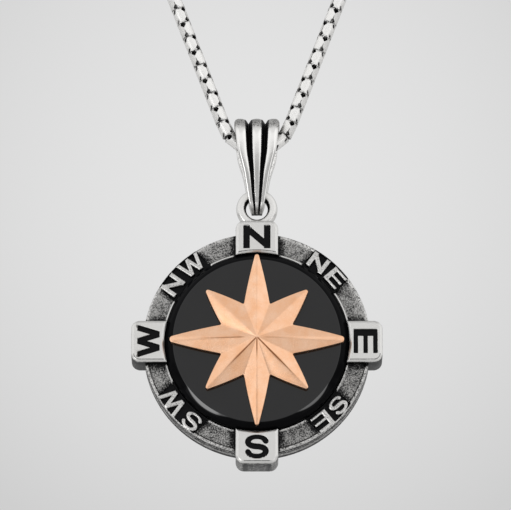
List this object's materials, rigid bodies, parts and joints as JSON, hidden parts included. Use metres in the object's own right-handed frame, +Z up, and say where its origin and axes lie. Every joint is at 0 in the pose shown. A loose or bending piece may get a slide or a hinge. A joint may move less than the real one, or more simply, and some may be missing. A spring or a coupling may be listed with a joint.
{
  "type": "compass pendant on a chain",
  "caption": "Round silver pendant in the form of a compass dial, with a black stone disc, a pointed star and a rod bail, on a closed chain.",
  "frame": {"origin": "under the clasp, where the chain rests on the nape of the neck", "axes": "+Z up along the hanging chain, +Y to the back, the pendant's face towards -Y"},
  "size_m": [0.1142, 0.0086, 0.2556],
  "materials": {
    "polished_silver": "polished",
    "oxidised_silver": "blasted and blackened, with polished edges",
    "black_onyx": "polished",
    "rose_gold": "satin"
  },
  "bodies": {
    "chain": {"chain_right": "polished_silver", "chain_left": "polished_silver", "clasp": "polished_silver"},
    "bail": {"bail": "polished_silver"},
    "medallion": {"frame": "oxidised_silver", "stone": "black_onyx", "star": "rose_gold"}
  },
  "joints": [
    {"name": "bail_swing", "type": "hinge", "parent": "chain", "child": "bail", "pos_m": [0, 0, -0.20374], "axis": [1, 0, 0], "range_deg": [-60, 60]},
    {"name": "medallion_swing", "type": "hinge", "parent": "bail", "child": "medallion", "pos_m": [0, 0, -0.2116], "axis": [1, 0, 0], "range_deg": [-40, 40]}
  ]
}
